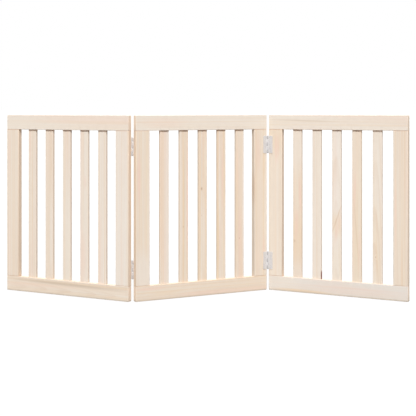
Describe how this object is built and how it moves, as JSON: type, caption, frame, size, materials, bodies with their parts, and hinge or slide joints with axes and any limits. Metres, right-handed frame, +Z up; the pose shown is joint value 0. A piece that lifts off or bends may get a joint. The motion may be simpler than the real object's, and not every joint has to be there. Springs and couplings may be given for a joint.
{
  "type": "folding pet gate",
  "caption": "Free-standing folding indoor barrier of slatted softwood panels, joined edge to edge by small butt hinges so that it stands in a zigzag and folds flat.",
  "frame": {"origin": "floor level under the middle of the centre panel, which is the bottom centre of the whole gate as it stands", "axes": "+X along the line of the gate to its right end seen from the front, +Y to the back, +Z up"},
  "size_m": [1.3508, 0.257, 0.605],
  "materials": {
    "frame_wood": "matte",
    "slat_wood": "matte",
    "dowel_wood": "matte",
    "leaf_zinc": "satin",
    "screw_zinc": "satin"
  },
  "bodies": {
    "centre_panel": {"centre_bottom_rail": "frame_wood", "centre_top_rail": "frame_wood", "centre_left_stile": "frame_wood", "centre_right_stile": "frame_wood", "centre_dowels": "dowel_wood", "centre_slat_1": "slat_wood", "centre_slat_2": "slat_wood", "centre_slat_3": "slat_wood", "centre_slat_4": "slat_wood", "centre_slat_5": "slat_wood", "left_lower_fixed_leaf": "leaf_zinc", "left_lower_fixed_screws": "screw_zinc", "left_lower_pin": "screw_zinc", "left_upper_fixed_leaf": "leaf_zinc", "left_upper_fixed_screws": "screw_zinc", "left_upper_pin": "screw_zinc", "right_lower_fixed_leaf": "leaf_zinc", "right_lower_fixed_screws": "screw_zinc", "right_lower_pin": "screw_zinc", "right_upper_fixed_leaf": "leaf_zinc", "right_upper_fixed_screws": "screw_zinc", "right_upper_pin": "screw_zinc"},
    "left_panel": {"left_bottom_rail": "frame_wood", "left_top_rail": "frame_wood", "left_hinge_stile": "frame_wood", "left_outer_stile": "frame_wood", "left_dowels": "dowel_wood", "left_slat_1": "slat_wood", "left_slat_2": "slat_wood", "left_slat_3": "slat_wood", "left_slat_4": "slat_wood", "left_slat_5": "slat_wood", "left_lower_swing_leaf": "leaf_zinc", "left_lower_swing_screws": "screw_zinc", "left_upper_swing_leaf": "leaf_zinc", "left_upper_swing_screws": "screw_zinc"},
    "right_panel": {"right_bottom_rail": "frame_wood", "right_top_rail": "frame_wood", "right_hinge_stile": "frame_wood", "right_outer_stile": "frame_wood", "right_dowels": "dowel_wood", "right_slat_1": "slat_wood", "right_slat_2": "slat_wood", "right_slat_3": "slat_wood", "right_slat_4": "slat_wood", "right_slat_5": "slat_wood", "right_lower_swing_leaf": "leaf_zinc", "right_lower_swing_screws": "screw_zinc", "right_upper_swing_leaf": "leaf_zinc", "right_upper_swing_screws": "screw_zinc"}
  },
  "joints": [
    {"name": "left_fold", "type": "hinge", "parent": "centre_panel", "child": "left_panel", "pos_m": [-0.22647, -0.11227, 0], "axis": [0, 0, -1], "range_deg": [-70, 122]},
    {"name": "right_fold", "type": "hinge", "parent": "centre_panel", "child": "right_panel", "pos_m": [0.22647, 0.11227, 0], "axis": [0, 0, -1], "range_deg": [-70, 122]}
  ]
}
